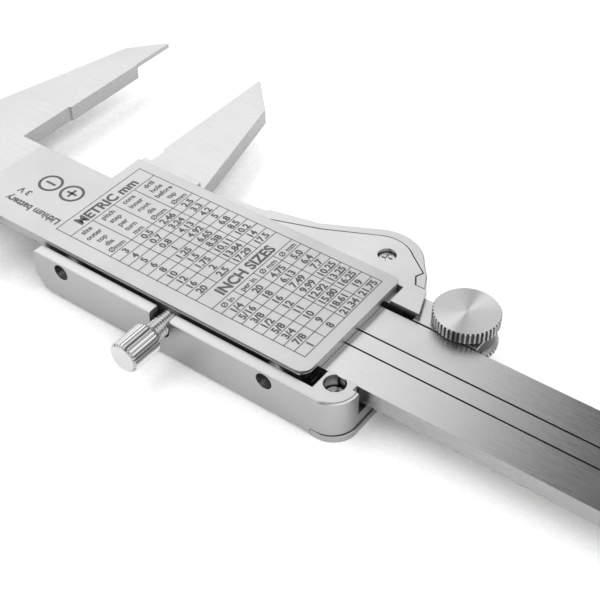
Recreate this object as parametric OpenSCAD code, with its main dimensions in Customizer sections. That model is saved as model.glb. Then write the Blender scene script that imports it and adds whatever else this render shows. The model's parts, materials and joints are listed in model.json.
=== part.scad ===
// Electronic caliper, 150 mm class, lying on its display side. Millimetres, +Z up.
// +X runs along the beam from the fixed jaws to the free end, +Y from the beam to the outside jaws' tips.
// Beam pieces are drawn from the fixed outside measuring plane (x = 0), slider pieces from the sliding one.

/* [Rest pose] */
// Gap between the two outside measuring faces
opening = 22.7; // [5:0.1:60]
// Longest opening that the scale reads
reading_range = 150; // [100:50:200]

/* [Beam] */
// Width of the beam
beam_w = 16; // [12:0.5:20]
// Thickness of the beam and of the outside jaws
beam_t = 3; // [2.5:0.1:4]
// Height of the beam's lower face above the table
beam_z = 4.2; // [3.5:0.1:6]
// Beam left of the fixed measuring plane
beam_head = 16.5; // [14:0.5:20]
// Beam beyond the reading range
beam_tail = 71; // [65:1:90]
// Near side of the depth rod's groove
groove_y = 6.15; // [5:0.05:7]
// Width of the depth rod's groove
groove_w = 3.75; // [3:0.05:5]
// Depth of the depth rod's groove
groove_d = 1.6; // [1:0.1:2]
// Depth of the scale's recess in the display side
recess_d = 0.5; // [0.3:0.05:0.7]
// Side margin of the scale's recess
recess_margin = 2; // [1:0.5:4]

/* [Outside jaws] */
// Reach of the outside jaws past the beam
jaw_reach = 39.8; // [30:0.1:60]
// Relief beside the beam
relief_d = 0.42; // [0.2:0.01:1]
// Distance from the beam's far edge to the start of the wide measuring faces
face_start = 11.8; // [8:0.1:14]
// Distance from the beam's far edge to the start of the knife edges
knife_start = 30.4; // [25:0.1:34]
// Thickness left at the knife edges
knife_t = 0.9; // [0.5:0.1:1.5]
// Width of the knife bevels
knife_run = 3.4; // [2:0.1:5]

/* [Inside jaws] */
// Distance of the inside measuring edges from the outside measuring faces
inner_offset = 9.2; // [7:0.1:12]
// Reach of the inside jaws past the beam
inner_reach = 17; // [12:0.5:22]
// Thickness of the fixed inside jaw
inner_t = 1.6; // [1:0.1:2]

/* [Slider body] */
// Length of the slider body's back sheet right of the sliding measuring plane
sheet_len = 54; // [45:0.5:65]
// Thickness of the back sheet
sheet_t = 1.07; // [0.8:0.01:1.5]
// Running clearance between slider and beam
running_gap = 0.03; // [0.02:0.01:0.05]
// Near edge of the slider body
near_y = -3.9; // [-5:0.1:-3]
// Far edge of the back sheet beside the jaw
far_y = 22.9; // [20:0.1:25]
// Far edge of the tongue that carries the inside jaw
tongue_y = 14.3; // [12:0.1:15.5]
// Height of the slider body's lower face above the table
body_z = 3.3; // [3:0.1:3.8]
// Width of the lips that keep the beam in
lip_w = 1.4; // [1:0.1:2]

/* [Thread table plate] */
// Thickness of the plate
plate_t = 0.55; // [0.4:0.05:1]
// Far edge of the plate
plate_far_y = 21.4; // [19:0.1:22.5]
// Radius of the plate's near right corner
plate_corner_r = 2; // [1:0.1:3]

/* [Housing] */
// Near face of the housing
case_near_y = -6.3; // [-8:0.1:-5]
// Inner face of the near wall
case_wall_y = -4.35; // [-5:0.05:-4]
// Left end of the housing
case_left = 1.8; // [1:0.1:5]
// Right end of the housing
case_right = 61.7; // [58:0.1:66]
// Height of the housing's back rim above the table
case_top = 7.85; // [7:0.05:9]
// Radius of the right near corner
case_corner_r = 4.2; // [3:0.1:6]
// Centre of the battery bulge along the beam
bulge_x = 47.9; // [44:0.1:52]
// Centre of the battery bulge across the beam
bulge_y = 23.9; // [22:0.1:26]
// Radius of the battery bulge
bulge_r = 7.55; // [7:0.05:9]
// Thickness of the housing's walls
wall_t = 1; // [0.8:0.1:1.5]

/* [Display side] */
// Thickness of the front cover's edge
cover_edge = 0.5; // [0.4:0.1:1]
// Thickness of the front cover
cover_t = 1.2; // [1:0.1:1.6]
// Length of the display window
window_len = 28; // [20:1:34]
// Width of the display window
window_w = 12; // [9:1:14]
// Radius of the buttons
button_r = 2.5; // [2:0.1:3]
// Travel of the buttons
button_travel = 0.4; // [0.2:0.1:0.6]
// Diameter of the battery
battery_d = 11.6; // [9:0.1:12]
// Thickness of the battery
battery_t = 5.35; // [3:0.05:5.4]

/* [Screws and roller] */
// Radius of the gib screws' access holes
gib_hole_r = 1.4; // [1:0.1:1.5]
// Radius of the gib screws
gib_screw_r = 1; // [0.8:0.1:1.2]
// Lock screw position along the beam
lock_x = 28.5; // [25:0.1:34]
// Radius of the lock screw's knurled head
knob_r = 2.6; // [2:0.1:4]
// Length of the lock screw's knurled head
knob_len = 5.9; // [4:0.1:8]
// Face of the lock screw's head
knob_face_y = -14.65; // [-18:0.05:-12]
// Radius of the lock screw's thread
lock_r = 1.6; // [1:0.1:2]
// Roller centre along the beam
roller_x = 66.1; // [64:0.1:70]
// Radius of the roller's knurled discs
disc_r = 5.25; // [4:0.05:7]
// Half width of the housing's notch for the lock screw
notch_r = 1.85; // [1.8:0.05:2.2]
// Radius of the roller's driving hub
hub_r = 4.6; // [4:0.05:6]
// Radius of the roller's axle
axle_r = 1; // [0.6:0.1:1.5]
// Clearance around shafts in their bores
fit_gap = 0.03; // [0.01:0.01:0.1]

/* [Hidden] */
$fn = 48;
// Overlap of joined solids, overshoot of a cut, gap between stacked pieces, seams beside a piece
eps = 0.05;
cut = 1;
part_gap = 0.02;
seam = 0.05;
cover_seam = 0.15;

// Beam and jaws
back_z = beam_z + beam_t;
mid_z = beam_z + beam_t / 2;
beam_right = reading_range + beam_tail;
jaw_tip_y = beam_w + jaw_reach;
face_y = beam_w + face_start;
knife_y = beam_w + knife_start;
tip_land = 0.6;
relief_step = 0.3;

// Scale and end stop
strip_gap = 0.1;
strip_left = 4;
strip_len = 196;
strip_t = 0.38;
label_t = 0.1;
stop_x = reading_range + sheet_len + seam;
stop_len = 9;
stop_w = 12;
stop_t = 0.9;
stop_screw_y = [3.3, 12.7];

// Slider body
sheet_z = back_z + running_gap;
plate_z = sheet_z + sheet_t;
gib_x = [7.8, 48.3];
gib_hole_z = 6.05;
gib_t = 0.99;
wall_in_y = -1.05;
far_wall_y = beam_w + part_gap;
far_block = [36, 20.6];
far_rail = [sheet_len - 1.5, 17.4];
jaw_root = 14.9;
flange_r = 5.7;
flange_screw = [48.7, 25.6];
flange_hole_r = 1.5;

// Depth rod
rod_margin = 0.28;
rod_right = beam_right;
rod_left = 8;
rod_top = back_z - 0.04;
rod_bottom = back_z - groove_d + 0.1;
rod_pin = [11, groove_y + groove_w / 2];
pin_r = 0.8;

// Housing and its screws
shelf_z = body_z - part_gap;
case_play = 0.3;
bulge_top = 8.25;
bulge_from = [26.5, 21.55];
slot_far_y = 17.3;
corner_screw = [57.8, -1.9];
corner_hole_r = 1.7;
corner_seat_z = 4.6;
thick_end = [56.5, 14];
slant_run = 2;
slant_top = 3.2;
small_screw_r = 0.78;
small_head_r = 1.45;

// Electronics
bay_top = 2.46;
board_z = 2.48;
board_t = 0.8;
board_screw = [[5.4, 0.2], [37.6, 15.3]];
board_screw_r = 0.6;
board_screw_depth = 0.7;
window_x = 8.2;
window_y = 0.8;
ledge_w = 1;
ledge_z = 0.25;
button_x = [13, 22.2, 31.4];
button_y = 17;

// Battery compartment
hatch_half = 6;
hatch_groove = 0.8;
hatch_y = bulge_y - 6.3;
side_contact_z = 5.7;
side_contact_h = 1.1;
cell_z = cover_t + 0.1;

// Thumb roller
roller_y = beam_w + hub_r + seam;
bracket_x = 57.3;
bracket_y = [17.6, 21.4];
bracket_screw_at = [58.4, 18.8];
leaf_t = 0.35;
leaf_z = [beam_z + 0.05, back_z - 0.05 - leaf_t];
disc_bottom = back_z + 0.2;
disc_t = 2;
lower_disc_z = 3.3;
lower_disc_t = 0.8;

// Centre of the whole part's box, measured from the fixed outside measuring plane
table_x = (opening + rod_right - beam_head) / 2;
table_y = (jaw_tip_y - inner_reach) / 2;

// Colours
steel = [0.78, 0.78, 0.79];
satin = [0.7, 0.71, 0.72];
dark = [0.2, 0.2, 0.22];
brass = [0.8, 0.7, 0.45];

// Puts a piece drawn from the fixed measuring plane into the part's frame.
module on_beam() translate([-table_x, -table_y, 0]) children();

// Puts a piece drawn from the sliding measuring plane into the part's frame.
module on_slider() translate([opening - table_x, -table_y, 0]) children();

// A box from its low corner to its high corner.
module box(low, high) translate(low) cube(high - low);

// A prism along Y whose section is given as [x, z] points.
module prism_y(y0, y1, section)
    translate([0, y1, 0]) rotate([90, 0, 0]) linear_extrude(y1 - y0) polygon(section);

// A vertical rod.
module rod_z(at, z0, z1, r) translate([at[0], at[1], z0]) cylinder(r = r, h = z1 - z0);

// A rod along Y at a given x and z.
module rod_y(x, z, y0, y1, r) translate([x, y1, z]) rotate([90, 0, 0]) cylinder(r = r, h = y1 - y0);

// A cross or single slot for a screwdriver, from z upwards.
module driver_slot(at, z, length, width, angles)
    for (a = angles) translate([at[0], at[1], z]) rotate([0, 0, a])
        translate([-length / 2, -width / 2, 0]) cube([length, width, cut]);

module beam_and_fixed_jaws() {
    jaw_outer_x = -14.3;
    jaw_bend = [-6.2, 49.6];
    head_slope = 5;
    knife_back = 0.24;
    knife_lead = 0.3;
    blade_root = [-1.9, -1.2];
    blade_shoulder = -0.6;
    blade_end = -1.6;
    blade_bevel = 1.8;
    blade_edge_t = 0.4;
    tap_depth = 1.7;
    color(steel) on_beam() difference() {
        translate([0, 0, beam_z]) linear_extrude(beam_t) polygon([
            [-inner_offset, -inner_reach], [tip_land - inner_offset, -inner_reach], blade_root,
            [blade_shoulder, 0], [beam_right, 0], [beam_right, beam_w], [-relief_d, beam_w],
            [-relief_d, face_y - relief_step], [0, face_y], [0, knife_y - knife_lead],
            [-knife_back, knife_y], [-knife_back, jaw_tip_y], [-knife_back - tip_land, jaw_tip_y],
            jaw_bend, [jaw_outer_x, beam_w], [-beam_head, beam_w - head_slope], [-beam_head, 0],
            [-inner_offset, 0]
        ]);
        // groove for the depth rod, open at the free end
        box([rod_left - eps, groove_y, back_z - groove_d],
            [beam_right + cut, groove_y + groove_w, back_z + cut]);
        // recess for the scale strip
        box([strip_left - strip_gap, recess_margin, beam_z - cut],
            [strip_left + strip_len + strip_gap, beam_w - recess_margin, beam_z + recess_d]);
        // bevel behind the outside knife edge
        prism_y(knife_y, jaw_tip_y + cut, [
            [cut, back_z - knife_t], [-knife_back, back_z - knife_t],
            [-knife_back - knife_run, beam_z - eps], [cut, beam_z - eps]
        ]);
        // thinned and bevelled inside jaw
        box([-inner_offset - cut, -inner_reach - cut, beam_z - cut], [cut, blade_end, back_z - inner_t]);
        prism_y(-inner_reach - cut, blade_end, [
            [-inner_offset - cut, back_z - blade_edge_t], [-inner_offset, back_z - blade_edge_t],
            [blade_bevel - inner_offset, back_z - inner_t - eps],
            [-inner_offset - cut, back_z - inner_t - eps]
        ]);
        for (y = stop_screw_y)
            rod_z([stop_x + stop_len / 2, y], back_z - tap_depth, back_z + cut, small_screw_r + fit_gap);
    }
}

// A strip in the scale's recess between two heights.
module recess_strip(z0, z1)
    on_beam() box([strip_left, recess_margin + strip_gap, z0],
        [strip_left + strip_len, beam_w - recess_margin - strip_gap, z1]);

module scale_strip()
    color([0.2, 0.42, 0.25]) recess_strip(beam_z + recess_d - strip_t, beam_z + recess_d);

module scale_label()
    color([0.85, 0.85, 0.83])
        recess_strip(beam_z + recess_d - strip_t - label_t, beam_z + recess_d - strip_t);

module end_stop() {
    y0 = (beam_w - stop_w) / 2;
    color(steel) on_beam() difference() {
        box([stop_x, y0, back_z], [stop_x + stop_len, y0 + stop_w, back_z + stop_t]);
        for (y = stop_screw_y)
            rod_z([stop_x + stop_len / 2, y], back_z - cut, back_z + 2 * cut, small_screw_r + fit_gap);
    }
}

module end_stop_screws() {
    shank_len = 1.6;
    head_t = 0.7;
    slot_w = 0.4;
    seat_z = back_z + stop_t;
    color(satin) on_beam() for (y = stop_screw_y) difference() {
        union() {
            rod_z([stop_x + stop_len / 2, y], back_z - shank_len, seat_z + eps, small_screw_r);
            rod_z([stop_x + stop_len / 2, y], seat_z, seat_z + head_t, small_head_r);
        }
        driver_slot([stop_x + stop_len / 2, y], seat_z + head_t / 2, 4 * small_head_r, slot_w, [0]);
    }
}

// Outline of the back sheet behind the battery, with the finger over the roller's bracket.
module flange_outline() {
    polygon([
        [27.1, plate_far_y - 3], [27.1, plate_far_y], [36.6, 24.7], [45.2, 28.93], [51.93, 27.93],
        [55.6, 25.2], [55.05, 23.9], [56.1, 22.1], [58.2, 22.1], [60.15, 16.85], [54.9, 16.85], [54.9, 20.6],
        [53, 20.6], [53, plate_far_y - 3]
    ]);
}

// The same outline with a seam of clearance, for the housing's recess.
module flange_recess_outline() {
    polygon([
        [27, 12], [27, plate_far_y + 0.15], [36.5, 24.88], [45.13, 29.08], [52.04, 28.04],
        [55.78, 25.25], [55.22, 23.9], [56.2, 22.27], [60.5, 22.27], [62, 16.7], [54.7, 16.7], [54.7, 12]
    ]);
}

// The back sheet's rectangle with its round near right corner, up to a far edge.
module sheet_slab(z0, z1, far_edge, corner_step) {
    box([0, near_y, z0], [sheet_len - plate_corner_r, far_edge, z1]);
    box([0, near_y + plate_corner_r, z0], [sheet_len, far_edge - corner_step, z1]);
    rod_z([sheet_len - plate_corner_r, near_y + plate_corner_r], z0, z1, plate_corner_r);
}

module slider_body() {
    jaw_corner = [7.2, 48.2];
    jaw_shoulder = [12.9, 24.5];
    jaw_tip_back = 0.3;
    tip_w = 0.4;
    face_relief = 0.6;
    step_x = 12.6;
    wall_end = 1;
    blade_heel = 0.7;
    blade_drop = 1.2;
    blade_edge_t = 0.4;
    tap_depth = 0.75;
    chamber_gap = 0.5;
    blade_y = near_y - 1.1;
    color(steel) on_slider() difference() {
        union() {
            // back sheet with the tongue over the beam and the flange
            box([-beam_head, near_y, sheet_z], [eps, tongue_y, plate_z]);
            sheet_slab(sheet_z, plate_z, plate_far_y, cut);
            box([0, plate_far_y - cut, sheet_z], [step_x, far_y, plate_z]);
            translate([0, 0, sheet_z]) linear_extrude(sheet_t) flange_outline();
            rod_z([bulge_x, bulge_y], sheet_z, plate_z, flange_r);
            // sliding outside jaw
            translate([0, 0, beam_z]) linear_extrude(beam_t) polygon([
                [relief_d, far_wall_y], [relief_d, face_y - face_relief], [0, face_y],
                [0, jaw_tip_y - jaw_tip_back], [tip_w, jaw_tip_y - jaw_tip_back], jaw_corner,
                jaw_shoulder, [jaw_root, far_wall_y]
            ]);
            // walls beside the beam and the lips under it
            box([wall_end, near_y, body_z], [sheet_len - wall_end, wall_in_y, plate_z - eps]);
            box([relief_d, far_wall_y, body_z], [far_block[0], far_block[1], plate_z - eps]);
            box([relief_d, far_wall_y, body_z], [far_rail[0], far_rail[1], plate_z - eps]);
            box([wall_end, near_y, body_z], [sheet_len - wall_end, lip_w, beam_z - running_gap]);
            box([wall_end, beam_w - lip_w, body_z],
                [sheet_len - wall_end, far_wall_y + cut, beam_z - running_gap]);
            // sliding inside jaw
            translate([0, 0, sheet_z]) linear_extrude(sheet_t) polygon([
                [-beam_head, near_y + eps], [-beam_head, near_y - 0.5],
                [-inner_offset - blade_heel, -inner_reach], [-inner_offset, -inner_reach],
                [-inner_offset, blade_y], [-inner_offset + 0.3, near_y - 0.3],
                [-inner_offset + 1.1, near_y], [-inner_offset + 1.1, near_y + eps]
            ]);
        }
        // bevel of the sliding outside knife edge
        prism_y(knife_y, jaw_tip_y + cut, [
            [-cut, back_z - knife_t], [0, back_z - knife_t], [knife_run, beam_z - eps],
            [-cut, beam_z - eps]
        ]);
        // bevel of the sliding inside knife edge
        prism_y(-inner_reach - cut, blade_y - 0.1, [
            [-inner_offset + cut, plate_z + eps], [-inner_offset - blade_drop, plate_z + eps],
            [-inner_offset, sheet_z + blade_edge_t], [-inner_offset + cut, sheet_z + blade_edge_t]
        ]);
        for (x = gib_x) rod_y(x, gib_hole_z, near_y - cut, wall_in_y + cut, gib_screw_r + fit_gap);
        rod_y(lock_x, mid_z, near_y - cut, wall_in_y + cut, lock_r + fit_gap);
        rod_z(flange_screw, sheet_z - cut, plate_z + cut, flange_hole_r);
        rod_z(rod_pin, sheet_z - cut, plate_z + cut, pin_r + part_gap);
        for (p = board_screw) rod_z(p, body_z - cut, body_z + tap_depth, board_screw_r + part_gap);
        // room for the battery and its upper contact
        rod_z([bulge_x, bulge_y], body_z - cut, sheet_z, battery_d / 2 + chamber_gap);
    }
}

module thread_table_plate() {
    far_corner_r = 1.2;
    top = plate_z + plate_t;
    color([0.86, 0.87, 0.88]) on_slider() {
        box([-beam_head, near_y, plate_z], [eps, tongue_y, top]);
        sheet_slab(plate_z, top, plate_far_y, far_corner_r);
        rod_z([sheet_len - far_corner_r, plate_far_y - far_corner_r], plate_z, top, far_corner_r);
    }
}

module depth_rod() {
    foot_angle = 12;
    near_side = groove_y + rod_margin;
    color(steel) on_slider() difference() {
        box([rod_left, near_side, rod_bottom], [rod_right, groove_y + groove_w - rod_margin, rod_top]);
        // relieved foot at the measuring end
        translate([rod_right, near_side, rod_bottom - eps]) rotate([0, 0, foot_angle])
            translate([0, -cut, 0]) cube([2 * cut, groove_w + 2 * cut, groove_d + cut]);
        rod_z(rod_pin, rod_bottom - cut, rod_top + cut, pin_r + part_gap);
    }
}

module depth_rod_pin() {
    pin_depth = 0.95;
    color(satin) on_slider() rod_z(rod_pin, back_z - pin_depth, plate_z - part_gap, pin_r);
}

module gib_strip() {
    ends = [2.5, sheet_len - 2];
    side_gap = 0.1;
    color([0.72, 0.62, 0.36]) on_slider() box(
        [ends[0], wall_in_y + running_gap, beam_z + side_gap],
        [ends[1], wall_in_y + running_gap + gib_t, back_z - side_gap]);
}

module gib_screws() {
    slot_w = 0.4;
    slot_depth = 0.5;
    head_y = near_y + 0.3;
    color(dark) on_slider() for (x = gib_x) difference() {
        rod_y(x, gib_hole_z, head_y, wall_in_y + 0.01, gib_screw_r);
        box([x - 2 * gib_screw_r, head_y - cut, gib_hole_z - slot_w / 2],
            [x + 2 * gib_screw_r, head_y + slot_depth, gib_hole_z + slot_w / 2]);
    }
}

// The housing's outline in plan, less the round corner and the bulge.
module case_outline(inset) {
    polygon([
        [case_left + inset, case_near_y + inset],
        [case_right - case_corner_r, case_near_y + inset],
        [case_right - inset, case_near_y + case_corner_r],
        [case_right - inset, 13.5], [60.2 - inset, 16.9],
        [56.8 - inset, 24.6 - inset * 0.3], [53.4 - inset * 0.7, 29 - inset * 0.7], [bulge_x, bulge_y],
        [44 + inset * 0.3, 30.35 - inset], [38.4, 27.5 - inset * 1.1],
        [35.2, 25.9 - inset], [25.2, 23.75 - inset], [16.3, 22.5 - inset],
        [15.5, 21.5 - inset], [case_left + inset, 21.5 - inset]
    ]);
}

// A solid slab with the housing's outline.
module case_slab(z0, z1, inset) {
    translate([0, 0, z0]) linear_extrude(z1 - z0) case_outline(inset);
    rod_z([case_right - case_corner_r, case_near_y + case_corner_r], z0, z1, case_corner_r - inset);
    rod_z([bulge_x, bulge_y], z0, z1, bulge_r - inset);
}

// Slanted cut at the lower left end of the housing and the front cover.
module left_slant() {
    far_side = 30;
    prism_y(case_near_y - cut, far_side, [
        [case_left - slant_run, -cut], [case_left + slant_run * (1 + cut / slant_top), -cut],
        [case_left, slant_top], [case_left - slant_run, slant_top]
    ]);
}

module housing() {
    boss_left = 55.6;
    bay_y = [-2.9, 20.4];
    tunnel_z = 3.3;
    flange_seam = 0.15;
    chamber_gap = 0.1;
    contact_room = 2;
    pocket_z = 4;
    roller_bay_x = 59.3;
    screw_floor = 2.9;
    top = case_top + cut;
    end_gap = [60.6, -1.5];
    color(satin) on_slider() difference() {
        union() {
            case_slab(cover_edge + part_gap, case_top, 0);
            // higher rim around the flange
            intersection() {
                case_slab(case_top - eps, bulge_top, 0);
                box([bulge_from[0], bulge_from[1], 0], [case_right, bulge_y + 2 * bulge_r, top]);
            }
        }
        // room for the front cover's raised middle and the electronics
        case_slab(cover_edge - eps, bay_top, wall_t);
        box([case_left + wall_t, bay_y[0], bay_top - eps], [case_right - wall_t, bay_y[1], shelf_z + eps]);
        // the front cover's thicker end
        box([thick_end[0], case_near_y - cut, 0], [case_right + cut, thick_end[1], cover_t + cover_seam]);
        // the battery cover's way out
        box([bulge_x - hatch_half - cut, hatch_y - 0.2, 0],
            [bulge_x + hatch_half + cut, bulge_y + bulge_r + cut, cover_t + part_gap]);
        // room for the slider body and the beam
        box([case_left - cut, case_wall_y, shelf_z], [boss_left, beam_w, top]);
        box([case_left - cut, case_wall_y, shelf_z],
            [far_block[0] + case_play, far_block[1] + case_play, top]);
        box([case_left - cut, case_wall_y, shelf_z], [jaw_root + case_play, bulge_y, top]);
        box([case_left - cut, 0, shelf_z], [far_rail[0] + case_play, far_rail[1] + case_play, top]);
        box([far_block[0] - cut, -case_play, tunnel_z], [case_right + cut, beam_w + case_play, top]);
        box([far_rail[0], thick_end[1], pocket_z - cut], [case_right + cut, slot_far_y, top]);
        box([end_gap[0], end_gap[1], tunnel_z], [case_right + cut, thick_end[1], top]);
        left_slant();
        // recess for the back sheet and its flange
        translate([0, 0, back_z]) linear_extrude(2 * cut) flange_recess_outline();
        rod_z([bulge_x, bulge_y], back_z, top, flange_r + flange_seam);
        box([-cut, case_wall_y, back_z], [far_block[0], plate_far_y + flange_seam, top]);
        // battery chamber with room for the side contact
        rod_z([bulge_x, bulge_y], 0, sheet_z, battery_d / 2 + chamber_gap);
        box([bulge_x - contact_room, bulge_y - bulge_r, side_contact_z - chamber_gap],
            [bulge_x + contact_room, bulge_y, side_contact_z + side_contact_h + chamber_gap]);
        // pocket for the roller's bracket
        box([bracket_x - case_play, slot_far_y - cut, pocket_z],
            [case_right + 2 * cut, bracket_y[1] + case_play, sheet_z]);
        box([roller_bay_x, thick_end[1], lower_disc_z - case_play],
            [case_right + 2 * cut, bulge_y + bulge_r, top]);
        // access holes, lock screw notch, screw holes
        for (x = gib_x) rod_y(x, gib_hole_z, case_near_y - cut, case_wall_y + cut, gib_hole_r);
        rod_y(lock_x, mid_z, case_near_y - cut, case_wall_y + cut, notch_r);
        box([lock_x - notch_r, case_near_y - cut, mid_z], [lock_x + notch_r, case_wall_y + cut, top]);
        rod_z(corner_screw, corner_seat_z, top, corner_hole_r);
        rod_z(corner_screw, 0, corner_seat_z + cut, small_screw_r + seam);
        rod_z(bracket_screw_at, screw_floor, pocket_z + cut, small_screw_r + part_gap);
    }
}

module corner_screw_piece() {
    foot_z = 0.45;
    head_top = 5.6;
    slot_z = 5.1;
    color(satin) on_slider() difference() {
        union() {
            rod_z(corner_screw, foot_z, corner_seat_z + eps, small_screw_r);
            rod_z(corner_screw, corner_seat_z + part_gap, head_top, corner_hole_r - 0.2);
        }
        driver_slot(corner_screw, slot_z, 2, 0.4, [0, 90]);
    }
}

module flange_screw_piece() {
    sunk = 0.7;
    slot_depth = 0.22;
    color(satin) on_slider() difference() {
        rod_z(flange_screw, sheet_z, plate_z - sunk, flange_hole_r - 0.15);
        driver_slot(flange_screw, plate_z - sunk - slot_depth, 1.8, 0.36, [20, 110]);
    }
}

module front_cover() {
    groove_z = [0.35, 0.85];
    screw_foot = 0.35;
    end_overhang = 0.25;
    window_end = [window_x + window_len, window_y + window_w];
    hatch_far = bulge_y + bulge_r + 2 * cut;
    color(satin) on_slider() difference() {
        union() {
            difference() {
                case_slab(0, cover_edge, 0);
                box([case_left - cut, case_near_y - cut, -cut],
                    [thick_end[0] + seam, case_near_y + wall_t + seam, cover_edge + cut]);
            }
            intersection() {
                translate([end_overhang, 0, 0]) case_slab(0, cover_t, 0);
                box([thick_end[0] + seam, case_near_y - cut, 0],
                    [case_right + cut, thick_end[1] - seam, cover_t]);
            }
            case_slab(cover_edge - eps, cover_t, wall_t + seam);
        }
        // display window with a ledge for its pane
        box([window_x, window_y, -cut], [window_end[0], window_end[1], cover_t + cut]);
        box([window_x - ledge_w, window_y - ledge_w, ledge_z],
            [window_end[0] + ledge_w, window_end[1] + ledge_w, cover_t + cut]);
        for (x = button_x) rod_z([x, button_y], -cut, cover_t + cut, button_r + seam);
        // battery opening and the grooves its cover slides in
        box([bulge_x - hatch_half - 0.1, hatch_y - 0.1, -cut],
            [bulge_x + hatch_half + 0.1, hatch_far, cover_t + cut]);
        box([bulge_x - hatch_half - hatch_groove - 0.1, hatch_y - 0.1, groove_z[0]],
            [bulge_x + hatch_half + hatch_groove + 0.1, hatch_far, groove_z[1]]);
        left_slant();
        rod_z(corner_screw, screw_foot, cover_t + cut, small_screw_r + part_gap);
    }
}

module display_window() {
    rim = ledge_w - 0.1;
    color([0.75, 0.8, 0.82, 0.5]) on_slider() box(
        [window_x - rim, window_y - rim, ledge_z],
        [window_x + window_len + rim, window_y + window_w + rim, cover_t]);
}

module display_panel() {
    rim = 0.5;
    panel_t = 0.73;
    color([0.5, 0.54, 0.5]) on_slider() box(
        [window_x - rim, window_y - rim, cover_t + part_gap],
        [window_x + window_len + rim, window_y + window_w + rim, cover_t + part_gap + panel_t]);
}

module zebra_connector() {
    strip_w = 1.6;
    panel_back = cover_t + 0.77;
    far_side = window_y + window_w + 0.4;
    color([0.85, 0.6, 0.65]) on_slider() box(
        [window_x, far_side - strip_w, panel_back], [window_x + window_len, far_side, board_z - part_gap]);
}

module circuit_board() {
    low = [4, -2.6];
    high = [39, 19];
    color([0.1, 0.35, 0.22]) on_slider() difference() {
        box([low[0], low[1], board_z], [high[0], high[1], board_z + board_t]);
        for (p = board_screw) rod_z(p, board_z - cut, board_z + 2 * cut, board_screw_r + part_gap);
    }
}

module reader_plate() {
    ends = [10, 38];
    top = 4;
    color([0.15, 0.3, 0.4]) on_slider() box(
        [ends[0], lip_w + 0.1, board_z + board_t + part_gap], [ends[1], beam_w - lip_w - 0.1, top]);
}

module board_screws() {
    head_r = 1.1;
    head_t = 0.5;
    color(satin) on_slider() for (p = board_screw) {
        rod_z(p, board_z - eps, body_z + board_screw_depth, board_screw_r);
        rod_z(p, board_z - head_t, board_z, head_r);
    }
}

module dome_contacts() {
    dome_h = 0.25;
    color(satin) on_slider() for (x = button_x)
        translate([x, button_y, board_z - dome_h - part_gap]) cylinder(r1 = 1.1, r2 = 1.9, h = dome_h);
}

module battery() {
    rim_step = 0.5;
    color(steel) on_slider() {
        rod_z([bulge_x, bulge_y], cell_z, cell_z + rim_step, battery_d / 2 - 0.8);
        rod_z([bulge_x, bulge_y], cell_z + rim_step - eps, cell_z + battery_t, battery_d / 2);
    }
}

module battery_contact_top() {
    ring = [2.4, 4];
    low = cell_z + battery_t + 0.1;
    ring_t = 0.25;
    color(brass) on_slider() difference() {
        rod_z([bulge_x, bulge_y], low, low + ring_t, ring[1]);
        rod_z([bulge_x, bulge_y], low - cut, low + cut, ring[0]);
    }
}

module battery_contact_side() {
    half_len = 1.5;
    near_side = bulge_y - battery_d / 2 - 0.65;
    color(brass) on_slider() box([bulge_x - half_len, near_side, side_contact_z],
        [bulge_x + half_len, near_side + 0.55, side_contact_z + side_contact_h]);
}

module battery_cover() {
    edge_r = bulge_r - seam;
    far_end = bulge_y + bulge_r + cut;
    color(dark) on_slider() intersection() {
        union() {
            box([bulge_x - hatch_half, hatch_y, 0.1], [bulge_x + hatch_half, far_end, 1.1]);
            box([bulge_x - hatch_half - hatch_groove, hatch_y, 0.4],
                [bulge_x + hatch_half + hatch_groove, far_end, 0.8]);
        }
        union() {
            rod_z([bulge_x, bulge_y], 0, 2, edge_r);
            box([bulge_x - bulge_r, bulge_y - bulge_r, 0], [bulge_x + bulge_r, bulge_y, 2]);
        }
    }
}

// One push button with its retaining collar and stem.
module push_button(x) {
    face_z = 0.2;
    collar_w = 0.5;
    stem_r = 0.9;
    rest_gap = 0.3;
    rod_z([x, button_y], face_z, cover_t + eps, button_r);
    rod_z([x, button_y], cover_t + part_gap, cover_t + 0.25, button_r + collar_w);
    rod_z([x, button_y], cover_t + 0.2, board_z - rest_gap - button_travel, stem_r);
}

module button_power() color([0.75, 0.25, 0.2]) on_slider() push_button(button_x[0]);

module button_zero() color([0.9, 0.9, 0.9]) on_slider() push_button(button_x[1]);

module button_unit() color([0.9, 0.9, 0.9]) on_slider() push_button(button_x[2]);

module lock_screw() {
    chamfer = 0.35;
    head_back = knob_face_y + knob_len;
    color(steel) on_slider() {
        rod_y(lock_x, mid_z, head_back - eps, wall_in_y - part_gap, lock_r);
        rod_y(lock_x, mid_z, knob_face_y + chamfer, head_back - chamfer, knob_r);
        translate([lock_x, knob_face_y + chamfer, mid_z]) rotate([90, 0, 0])
            cylinder(r1 = knob_r, r2 = knob_r - chamfer, h = chamfer);
        translate([lock_x, head_back, mid_z]) rotate([90, 0, 0])
            cylinder(r1 = knob_r - chamfer, r2 = knob_r, h = chamfer);
    }
}

// A disc around the roller's centre with a bore for the axle.
module roller_ring(z0, z1, r)
    difference() {
        rod_z([roller_x, roller_y], z0, z1, r);
        rod_z([roller_x, roller_y], z0 - cut, z1 + cut, axle_r + part_gap);
    }

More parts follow.
